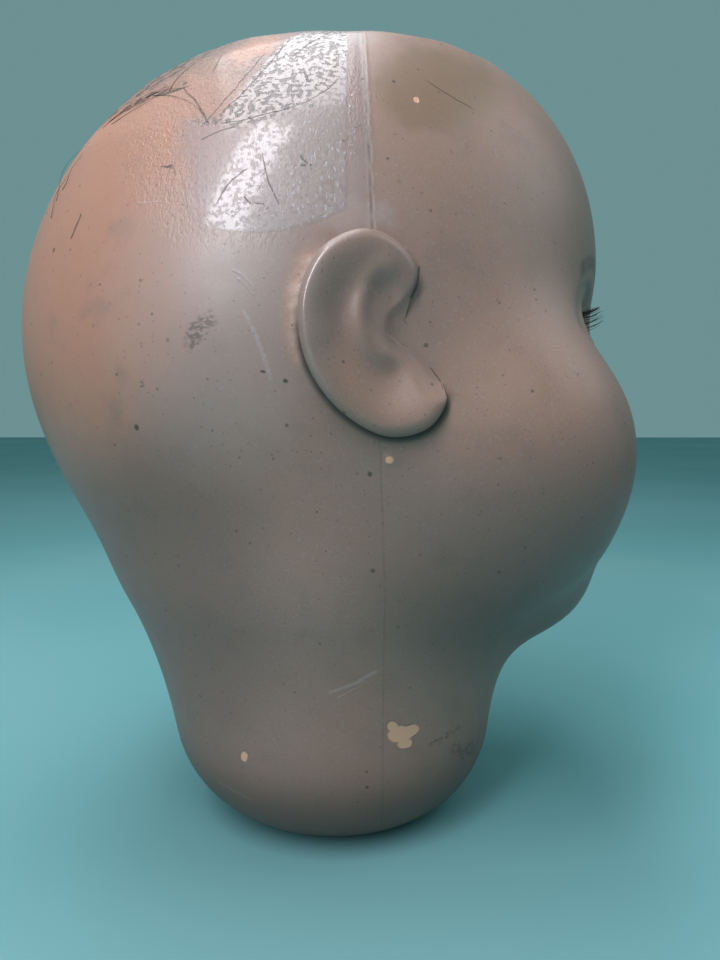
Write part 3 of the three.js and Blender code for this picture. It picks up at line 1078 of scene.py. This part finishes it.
@dataclass(frozen=True)
class PaintFinish:
    """Brown skin paint over peach celluloid, worn, scratched and stained with old glue, with painted shade low on the
    head and in creases, and a painted sheen and glints.
    """

    brown: Tone = tone(147, 119, 109)
    warm_brown: Tone = tone(151, 119, 106)
    dark_brown: Tone = tone(124, 101, 93)
    bare: Tone = tone(205, 158, 132)
    tan: Tone = tone(180, 130, 111)
    raw: Tone = tone(178, 140, 116)
    glue: Tone = tone(150, 134, 138)
    stain: Tone = tone(126, 104, 84)
    # A dark tone for dirt and painted lines, also used as painted shade under the head, in the ear undercut and in the
    # seam groove.
    grime_and_shade: Tone = tone(58, 49, 44)
    pale: Tone = tone(184, 168, 168)
    # Painted glints: a near-white for the flecks on the glue beads, which stand in for glints of light.
    glint_white: Tone = tone(222, 216, 224)
    lip: Tone = tone(150, 84, 76)
    blush: Tone = tone(158, 104, 90)
    brow: Tone = tone(74, 56, 46)
    tan_area: tuple[Blot, ...] = (
        Blot((-38, 137), (19, 20), 30, 0.75),
        Blot((-43, 116), (16, 20), 0, 0.95),
        Blot((-12.6, 157.6), (4.6, 3.3), 30, 0.4),
    )
    lips: tuple[Blot, ...] = (Blot((3.9, 78.8), (6.7, 2.7), -13, 0.22), Blot((0, 73.7), (7.6, 3.0), 0, 0.22))
    hazed: Blot = Blot((-34, 158.5), (19, 7.2), 10, 0.35)
    # Painted shade: soft dark patches low on the back of the head and under the jaw, where shade falls.
    low_shade: tuple[Blot, ...] = (
        Blot((-31, 60), (16, 30), 0, 0.8),
        Blot((40, 62), (26, 17), -20, 0.8),
    )
    varnished: Blot = Blot((-15, 146), (21, 24), 0, 0.3)
    stained: tuple[Blot, ...] = (Blot((21, 150), (11.5, 8.5), 20, 0.3), Blot((15.5, 146), (3.2, 5), 0, 0.4))
    smudges: tuple[Blot, ...] = (
        Blot((-37, 153.5), (17, 2.2), 24, 0.7),
        Blot((-34, 149.8), (8, 1.1), 12, 0.6),
        Blot((-24.8, 133), (1.3, 0.4), -30, 0.5),
    )
    scuffs: tuple[Blot, ...] = (
        Blot((-18.8, 105.8), (3.1, 1.2), 45, 0.5),
        Blot((24.5, 26.2), (2.8, 0.8), 20, 0.6),
        Blot((29.5, 20.8), (3.4, 1.1), -35, 0.6),
        Blot((-29.1, 97.9), (0.8, 0.7), 0, 0.5),
    )
    # Pale veils, partly a painted sheen: the soft patches at (-17, 109) and (-17.5, 118) left of the right ear stand
    # in for a sheen of light there; the smaller ones are pale marks.
    veils_and_sheen: tuple[Blot, ...] = (
        Blot((6.5, 124.6), (4.6, 2.0), 8, 0.8),
        Blot((-9.5, 105), (1.5, 7), 22, 0.9),
        Blot((-17.5, 118), (5, 6), 0, 0.9),
        Blot((-17, 109), (12, 17), 0, 0.95),
    )
    scratches: tuple[Stroke, ...] = (
        Stroke((-17, 140.6), (-2.8, 144.1), 0.26, -0.5),
        Stroke((-2.8, 144.1), (3.7, 150.0), 0.26, -0.8),
        Stroke((-5, 153.9), (2.5, 162.3), 0.3, 0.4),
        Stroke((-17, 141.9), (-5, 160.7), 0.26, -1.05),
        Stroke((-24.6, 150.2), (-18.3, 140.6), 0.4, 0.7),
        Stroke((-17.8, 157.6), (-18.9, 152.2), 0.28, 0),
        Stroke((-41.8, 127.8), (-43.8, 123.1), 0.45, 0.2),
        Stroke((-8.7, 135.2), (-5.5, 125.7), 0.18, -0.5),
        Stroke((-9.9, 126.3), (-8.1, 126.1), 0.22, 0),
        Stroke((-11.4, 127.5), (-10.4, 126.1), 0.22, 0),
        Stroke((-20, 140), (-9.2, 157), 0.2, -0.6),
        Stroke((-2.4, 151.6), (-1.6, 148.4), 0.45, 0),
        Stroke((-19.5, 137.8), (-13, 140), 0.3, 0.3),
        Stroke((-15.9, 126), (-10.5, 132.4), 0.26, 0.9),
        Stroke((18.5, 150.8), (27.4, 146.1), 0.2, -0.3),
        Stroke((16.8, 116.8), (15.2, 111.2), 0.5, 0.5),
        Stroke((18.6, 100.6), (20.9, 96.6), 0.22, 0.2),
    )
    # Pale arcs and streaks of dried glue and wear, lightened partly as a painted glint along them.
    pale_arcs_and_glints: tuple[Stroke, ...] = (
        Stroke((-8.7, 135.4), (-5.9, 125.9), 0.26, -0.6),
        Stroke((-2.2, 131), (3.2, 126.9), 0.2, 0.1),
        Stroke((-9.7, 141), (-8.9, 128), 0.4, 0),
        Stroke((-10.6, 141), (-9.9, 130), 0.24, 0),
        Stroke((-11.5, 109.5), (-7, 97.5), 0.8, 0.5),
        Stroke((-13.2, 115.6), (-9.1, 112.2), 0.36, 0.4),
        Stroke((-12.4, 114.4), (-9.4, 111.4), 0.3, 0.1),
        Stroke((0.8, 39.4), (10.9, 44.5), 0.8, -0.2),
        Stroke((2.5, 38.4), (7.5, 41.4), 0.3, 0),
        Stroke((-22.8, 15.5), (-15, 13.5), 0.25, 0.2),
        Stroke((-30.1, 127.7), (-24.7, 127.4), 0.3, 0.1),
    )
    chips: tuple[Blot, ...] = (
        Blot((15.0, 29.6), (2.4, 1.8), -10, 0.14),
        Blot((17.1, 29.9), (1.7, 1.3), 20, 0.14),
        Blot((15.9, 27.3), (1.5, 1.1), 0, 0.14),
        Blot((13.4, 31.6), (1.0, 1.2), 30, 0.14),
        Blot((-16.2, 24.1), (0.7, 1.1), 0, 0.2),
        Blot((16.7, 146.2), (0.45, 0.6), 0, 0.2),
        Blot((12.1, 85.2), (0.6, 0.6), 0, 0.4),
    )
    dots: tuple[Blot, ...] = (
        Blot((-4.9, 98.2), (0.38, 0.3), 0, 0.5),
        Blot((-8.4, 99.6), (0.4, 0.2), -20, 0.5),
        Blot((-30.9, 90.4), (0.4, 0.5), 0, 0.5),
        Blot((-2.3, 134.1), (0.26, 0.45), 15, 0.4),
        Blot((-1.75, 133.5), (0.42, 0.2), -40, 0.4),
        Blot((-2.1, 132.8), (0.42, 0.2), 10, 0.4),
        Blot((-0.8, 132.9), (0.24, 0.24), 0, 0.4),
        Blot((-26, 149.9), (2.6, 0.36), 6, 0.5),
    )

    def _specks(self, sheet: FinishSheet, where: Wire, per_mm: float, radius: float, few: float) -> Wire:
        """Dark specks of dirt, scattered and of uneven size.

        Args:
            sheet: the finish.
            where: the place on the piece in millimetres.
            per_mm: how many specks fit into a millimetre where none is missing.
            radius: the largest speck's radius, as a share of their spacing.
            few: the share of specks that are missing.

        Returns:
            How dark the specks are, from 0 to 1.
        """
        sockets = {"Vector": where, "Scale": per_mm, "Randomness": 1.0}
        cell = sheet.node("ShaderNodeTexVoronoi", None, sockets, "Distance")
        size, strength, _ = sheet.split(cell.twin("Color"))
        return sheet.ease(cell - size * radius, radius * 0.4, 0.0) * sheet.ease(strength, few, 1.0)

    def _seam(self, sheet: FinishSheet, beside: Wire, x: Wire, z: Wire, colour: Wire) -> Wire:
        """Lays the seam's worn crest, partly a painted highlight, and the dirt beside it, partly painted shade in its
        groove, over a colour.
        """
        open_skin = sheet.ease(sheet.attribute("ear_reach"), 0.2, 1.2)
        fresh = sheet.ease(z, 88, 122)
        broken = sheet.ease(sheet.noise(sheet.whole(x, 0.0, z), 0.35, 3), 0.38, 0.6)
        # The crest is lightened as worn paint and as a painted highlight on the ridge; the gutter is darkened as dirt
        # and as painted shade in the groove.
        crest_wear_and_highlight = sheet.ease(abs(beside - 0.12), 0.24, 0.08) * broken * fresh
        gutter_dirt_and_shade = sheet.ease(abs(beside + 0.42), 0.36, 0.1)
        colour = sheet.mix(crest_wear_and_highlight * open_skin * 0.28, colour, self.pale)
        return sheet.mix(gutter_dirt_and_shade * open_skin * (fresh * 0.4 + 0.2) * (broken * 0.5 + 0.5), colour, self.grime_and_shade)

    def _ears(self, sheet: FinishSheet, x: Wire, z: Wire, grain: Wire, colour: Wire) -> Wire:
        """Lays the rubbed skin behind the ears, and the dirt and painted shade in their undercut, over a colour."""
        reach = sheet.attribute("ear_reach")
        low = sheet.ease(sheet.attribute("ear_stand"), 1.6, 0.4)
        undercut = sheet.maths("MAXIMUM", sheet.ease(z, 113, 104) * sheet.ease(x, 13, 8), sheet.ease(z, 97, 93))
        # Dirt together with painted shade in the ear's undercut and along its foot.
        crease = sheet.ease(reach, 1.5, 0.2) * low * (undercut * 0.85 + 0.05)
        rub = sheet.ease(reach, 0.3, 1.0) * sheet.ease(reach, 3.8, 1.2) * sheet.ease(x, 2.5, -1.5)
        rub = rub * sheet.ease(z, 98, 105) * sheet.ease(z, 121, 117) * (sheet.ease(grain, 0.35, 0.6) * 0.5 + 0.5)
        return sheet.mix(crease, sheet.mix(rub * 0.45, colour, self.bare), self.grime_and_shade)

    def _face(self, sheet: FinishSheet, where: Wire, front: Wire, colour: Wire) -> Wire:
        """Paints the lips, cheeks, brows and the lines of the lids over a colour."""
        _, y, z = sheet.split(where)
        face = (abs(y), z)
        lips = covered(sheet, self.lips, face) * front
        blush = Blot((30, 84), (13, 11), 0, 0.9).mask(sheet, face) * front
        brows = Stroke((9.5, 120.5), (29.5, 119.5), 3.2, 3.4).mask(sheet, face) * front
        strands = sheet.noise(sheet.vector("MULTIPLY", where, (1, 1, 0.3)), 1.1, 2)
        brows = brows * (sheet.ease(strands, 0.3, 0.6) * 0.6 + 0.4)
        mouth = Stroke((-9.6, 76.9), (9.6, 76.9), 0.8, -0.8).mask(sheet, face) * front
        nostrils = Blot((3.7, 87.4), (1.2, 0.8), 15, 0.4).mask(sheet, face) * front
        colour = sheet.mix(blush * 0.22, colour, self.blush)
        colour = sheet.mix(lips * 0.6, colour, self.lip)
        colour = sheet.mix(brows * 0.6, colour, self.brow)
        colour = sheet.mix(sheet.maths("MAXIMUM", mouth * 0.6, nostrils * 0.5), colour, self.grime_and_shade)
        return sheet.mix(sheet.ease(sheet.attribute("lid_reach"), 0.9, 0.2) * 0.6, colour, self.grime_and_shade)

    def build(self, seam: Seam) -> bpy.types.Material:
        """Builds the finish in layers, from the sound paint to what stains and bares it."""
        sheet = FinishSheet("painted_celluloid")
        where = sheet.millimetres()
        x, y, z = sheet.split(where)
        right = sheet.ease(y, 3, -6)
        front = sheet.ease(x, 34, 42)
        drift = sheet.vector("SUBTRACT", sheet.noise(where, 0.3, 3).twin("Color"), (0.5, 0.5, 0.5))
        rough_x, _, rough_z = sheet.split(sheet.vector("ADD", where, sheet.scaled(drift, 6.0)))
        side = (rough_x, rough_z)
        fine_x, _, fine_z = sheet.split(sheet.vector("ADD", where, sheet.scaled(drift, 0.9)))
        fine_side = (fine_x, fine_z)

        cloud = sheet.noise(where, 0.022, 3)
        mottle = sheet.noise(where, 0.13, 4)
        grain = sheet.noise(where, 1.7, 2)
        colour = sheet.mix(sheet.ease(cloud, 0.38, 0.62), self.brown, self.warm_brown)
        colour = sheet.mix(sheet.ease(mottle, 0.5, 0.75) * 0.3, colour, self.dark_brown)
        colour = sheet.mix(sheet.ease(grain, 0.35, 0.6) * 0.2, colour, self.dark_brown)
        colour = sheet.mix(sheet.ease(grain, 0.52, 0.7) * 0.14, colour, self.pale)
        # Painted shade: the paint darkens towards the bottom of the neck, standing in for the shade under the head.
        colour = sheet.mix(sheet.ease(z, 30, 8) * 0.6, colour, self.grime_and_shade)
        # Painted shade low on the head and under the jaw.
        low_shade = covered(sheet, self.low_shade, (x, z))
        colour = sheet.mix(low_shade * 0.32, colour, self.grime_and_shade)

        tan = covered(sheet, self.tan_area, side) * sheet.ease(y, 40, 0) * sheet.ease(mottle, 0.1, 0.46)
        colour = sheet.mix(tan * 0.85, colour, self.tan)
        colour = sheet.mix(self.hazed.mask(sheet, side) * 0.55, colour, self.dark_brown)
        stain = covered(sheet, self.stained, side) * right
        colour = sheet.mix(stain * 0.55, colour, self.stain)
        # Pale veils, partly a painted sheen left of the right ear.
        veil_and_sheen = covered(sheet, self.veils_and_sheen, side) * right
        colour = sheet.mix(veil_and_sheen * 0.24, colour, self.pale)

        beside = x - (seam.x - sheet.maths("MAXIMUM", z - seam.bend_z, 0.0) * seam.lean)
        outer_arc = sheet.ease(fine_x + 16.4 - (fine_z - 141.9) * 0.6, 0.5, -0.7) * sheet.ease(fine_z, 141, 144)
        glued = sheet.ease(rough_x + rough_z * 0.212 - 7.42, -3.0, 2.0) * (1.0 - outer_arc)
        glued = glued * sheet.ease(fine_z - 121.5 - (fine_x + 9.0) * (fine_x + 9.0) * 0.022, -0.4, 0.4) * right
        glued = glued * sheet.ease(beside, -0.4, -0.7)
        patch = glued * sheet.ease(4.9 - fine_x, -0.25, 0.25)
        past = fine_x + 5.0
        thick = sheet.ease(fine_z - 142.8 - past * 0.573 - past * past * 0.033, -1.2, 0.6)
        pits = sheet.ease(sheet.noise(where, 1.15, 5, 0.3), 0.48, 0.58)
        varnish = self.varnished.mask(sheet, side) * right
        colour = sheet.mix(glued * 0.3 + patch * 0.15, colour, self.glue)
        colour = sheet.mix(patch * pits * (thick * 0.5 + 0.08), colour, self.grime_and_shade)
        streaky = sheet.noise(sheet.vector("MULTIPLY", where, (0.8, 1.0, 1.5)), 0.55, 4, 0.6)
        smudge = covered(sheet, self.smudges, side) * sheet.ease(y, -8, -22) * sheet.ease(streaky, 0.4, 0.6)
        wiped = sheet.noise(sheet.vector("MULTIPLY", where, (0.9, 1.0, 1.9)), 1.1, 3, 0.5)
        scuff = covered(sheet, self.scuffs, side) * right * sheet.ease(wiped, 0.46, 0.54)
        colour = sheet.mix(smudge * 0.8, colour, self.grime_and_shade)
        colour = sheet.mix(scuff * 0.52, colour, self.grime_and_shade)

        colour = self._seam(sheet, beside, x, z, colour)
        colour = self._ears(sheet, x, z, grain, colour)
        colour = self._face(sheet, where, front, colour)

        scratch = covered(sheet, self.scratches, fine_side) * right
        arc_and_glint = covered(sheet, self.pale_arcs_and_glints, fine_side) * right
        colour = sheet.mix(scratch * 0.62, colour, self.grime_and_shade)
        # Pale arcs of glue and wear, partly a painted glint.
        colour = sheet.mix(arc_and_glint * (sheet.ease(wiped, 0.38, 0.56) * 0.16 + 0.14), colour, self.pale)

        # Painted glints: pale flecks on the glue beads by the seam and on the lower glue patch, standing in for
        # glints; the beads also get a little relief.
        beads_and_glints = sheet.ease(abs(fine_x - 5.9), 0.8, 0.2) * sheet.ease(abs(z - 143), 10, 6) * right
        low_patch = patch * (1.0 - thick) * sheet.ease(x, -20, -2)
        beads_and_glints = sheet.maths("MAXIMUM", beads_and_glints, low_patch * 0.5)
        upright = sheet.vector("MULTIPLY", where, (2.4, 1.0, 0.8))
        beads_and_glints = sheet.ease(sheet.noise(upright, 1.1, 3), 0.58, 0.66) * beads_and_glints
        colour = sheet.mix(beads_and_glints * 0.6, colour, self.glint_white)

        speck = self._specks(sheet, where, 0.21, 0.085, 0.0)
        dust = self._specks(sheet, where, 0.42, 0.11, 0.1)
        grit = self._specks(sheet, where, 1.25, 0.17, 0.15)
        dots = covered(sheet, self.dots, fine_side) * right
        dirt = sheet.maths("MAXIMUM", sheet.maths("MAXIMUM", speck * 0.7, dust * 0.55), grit * 0.5)
        colour = sheet.mix(dirt, colour, self.grime_and_shade)
        colour = sheet.mix(dots * 0.8, colour, self.grime_and_shade)

        chip = covered(sheet, self.chips, fine_side) * right
        colour = sheet.mix(chip, colour, self.bare)
        bare_wall = sheet.ease(sheet.attribute("depth"), -0.8, -1.2)
        colour = sheet.mix(bare_wall, colour, self.raw)

        gloss = patch * (thick * 0.08 + 0.5) * (1.0 - pits * 0.9) + (glued - patch) * 0.12
        gloss = sheet.maths("MAXIMUM", gloss, varnish * (0.24 - pits * 0.14))
        gloss = gloss * (1.0 - sheet.maths("MAXIMUM", smudge, scratch) * 0.7)
        rim = sheet.ease(sheet.attribute("ear_stand"), 3.4, 4.4) * sheet.ease(sheet.attribute("ear_reach"), 0.5, -0.5)
        gloss = sheet.maths("MAXIMUM", gloss, rim * sheet.ease(x, 4, 0) * 0.6)
        cloudy = sheet.noise(where, 0.2, 3)
        roughness = 0.36 + cloudy * 0.12 + smudge * 0.2 + bare_wall * 0.2 + chip * 0.1 - stain * 0.06
        roughness = roughness + outer_arc * 0.16

        crinkle = sheet.noise(sheet.vector("MULTIPLY", where, (1.6, 1.6, 0.7)), 1.1, 2, 0.8) - 0.5
        height = crinkle * varnish * (0.24 - patch * 0.19) + crinkle * patch * thick * 0.1
        height = height - pits * patch * (thick * 0.05 + 0.01) + beads_and_glints * 0.08 + patch * 0.04
        height = height + grain * 0.012 - scratch * 0.06 + arc_and_glint * 0.03 - chip * 0.12 + speck * 0.02
        return sheet.done(
            Base_Color=colour,
            Roughness=roughness,
            Normal=sheet.bumped(height),
            Specular_IOR_Level=0.72,
            Coat_Weight=gloss,
            Coat_Roughness=0.12,
            Coat_IOR=1.65,
        )


@dataclass(frozen=True)
class GlassFinish:
    """Polished glass, white with a grey-blue ring and a dark middle."""

    y: float = 20.5
    z: float = 107.0
    pupil: float = 2.5
    iris: float = 6.3
    white: Tone = tone(214, 212, 206)
    ring: Tone = tone(78, 96, 112)
    ring_edge: Tone = tone(34, 44, 58)
    middle: Tone = tone(8, 8, 10)

    def build(self) -> bpy.types.Material:
        """Builds the finish as rings about the eye's middle, the same on both sides."""
        sheet = FinishSheet("eye_glass")
        _, y, z = sheet.split(sheet.millimetres())
        across, up = abs(y) - self.y, z - self.z
        off = sheet.whole(across, up, 0.0)
        far = sheet.vector("LENGTH", off, output="Value")
        rays = sheet.noise(sheet.vector("NORMALIZE", off), 7.0, 3)
        ring = sheet.mix(sheet.ease(far, 3.4, self.iris), self.ring, self.ring_edge)
        ring = sheet.mix(sheet.ease(rays, 0.45, 0.62) * 0.5, ring, self.ring_edge)
        colour = sheet.mix(sheet.ease(far, self.iris + 0.25, self.iris - 0.1), self.white, ring)
        colour = sheet.mix(sheet.ease(far, self.pupil + 0.15, self.pupil - 0.1), colour, self.middle)
        return sheet.done(
            Base_Color=colour, Roughness=0.25, Coat_Weight=1.0, Coat_Roughness=0.03, Specular_IOR_Level=0.5
        )


@dataclass(frozen=True)
class HairFinish:
    """Black hair, dusty towards its tips."""

    black: Tone = tone(24, 20, 18)
    dusty: Tone = tone(62, 54, 48)

    def build(self) -> bpy.types.Material:
        """Builds the finish with dust in patches."""
        sheet = FinishSheet("lash_hair")
        dust = sheet.noise(sheet.millimetres(), 0.9, 2)
        colour = sheet.mix(sheet.ease(dust, 0.5, 0.75), self.black, self.dusty)
        return sheet.done(Base_Color=colour, Roughness=0.5)


@dataclass
class Studio:
    """The camera at the photograph's place, a pale floor and soft light from above."""

    camera_at: Spot = (7.538, -180.920, 93.352)
    yaw: float = -0.172
    pitch: float = 5.164
    focal: float = 28.875
    floor_tone: Tone = tone(116, 166, 170)
    floor_half: float = 2.5

    def _aim(self, thing: bpy.types.Object, way: Vector) -> None:
        """Points a camera or a lamp along a direction."""
        thing.rotation_euler = way.to_track_quat("-Z", "Y").to_euler()

    def _camera(self) -> None:
        """Sets the camera."""
        data = bpy.data.cameras.new("photo_camera")
        data.lens = self.focal
        data.sensor_width = 36.0
        data.clip_start = 0.005
        camera = bpy.data.objects.new("photo_camera", data)
        bpy.context.scene.collection.objects.link(camera)
        camera.location = Vector(self.camera_at) * METRES
        turn, dip = math.radians(self.yaw), math.radians(self.pitch)
        self._aim(camera, Vector((math.sin(turn) * math.cos(dip), math.cos(turn) * math.cos(dip), -math.sin(dip))))
        bpy.context.scene.camera = camera

    def _lamp(self, name: str, at: Spot, target: Spot, size: Place, power: float, colour: Spot) -> None:
        """Adds a soft rectangular lamp.

        Args:
            name: its name.
            at: its place in millimetres.
            target: the place that it faces.
            size: its width and height in millimetres.
            power: its power in watts.
            colour: its colour.
        """
        data = bpy.data.lights.new(name, "AREA")
        data.shape = "RECTANGLE"
        data.size, data.size_y = size[0] * METRES, size[1] * METRES
        data.energy = power
        data.color = colour
        lamp = bpy.data.objects.new(name, data)
        bpy.context.scene.collection.objects.link(lamp)
        lamp.location = Vector(at) * METRES
        self._aim(lamp, Vector(target) - Vector(at))

    def _floor(self) -> None:
        """Lays the floor that the head stands on."""
        floor = started(bpy.ops.mesh.primitive_plane_add, size=2 * self.floor_half)
        floor.name = "studio_floor"
        sheet = FinishSheet("studio_floor")
        cloud = sheet.noise(sheet.millimetres(), 0.004, 2)
        colour = sheet.mix(sheet.ease(cloud, 0.3, 0.7) * 0.06, self.floor_tone, (1.0, 1.0, 1.0, 1.0))
        floor.data.materials.append(sheet.done(Base_Color=colour, Roughness=0.6))

    def build(self) -> None:
        """Sets the camera, the floor, the lamps and the pale room."""
        self._camera()
        self._floor()
        self._lamp("ceiling_light", (-75, 40, 600), (-75, 41, 0), (260, 420), 1.4, (0.95, 0.97, 1.0))
        self._lamp("tall_window", (-268, -519, 560), (0, -55, 110), (170, 820), 4.4, (0.93, 0.94, 1.0))
        self._lamp("room_light", (60, -520, 560), (0, 0, 120), (600, 400), 0.5, (1.0, 0.98, 0.96))
        self._lamp("right_light", (520, 0, 520), (0, 0, 120), (400, 400), 0.55, (0.96, 0.97, 1.0))
        world = bpy.data.worlds.new("pale_room")
        world.use_nodes = True
        background = world.node_tree.nodes["Background"]
        background.inputs["Color"].default_value = tone(168, 214, 216)
        background.inputs["Strength"].default_value = 0.4
        bpy.context.scene.world = world
        bpy.context.scene.view_settings.view_transform = "Standard"
        bpy.context.scene.view_settings.look = "Medium High Contrast"


def main() -> None:
    """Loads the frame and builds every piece."""
    logging.basicConfig(level=logging.INFO, format="%(message)s")
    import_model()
    bpy.ops.object.select_all(action="DESELECT")
    Studio().build()
    head = PaintedHead()
    head.build(PaintFinish().build(head.seam))
    glass, hair = GlassFinish().build(), HairFinish().build()
    for side in Side:
        GlassEye().build(side, glass)
        Lashes().build(side, hair)
    WigRemains().build(hair)


if __name__ == "__main__":
    main()
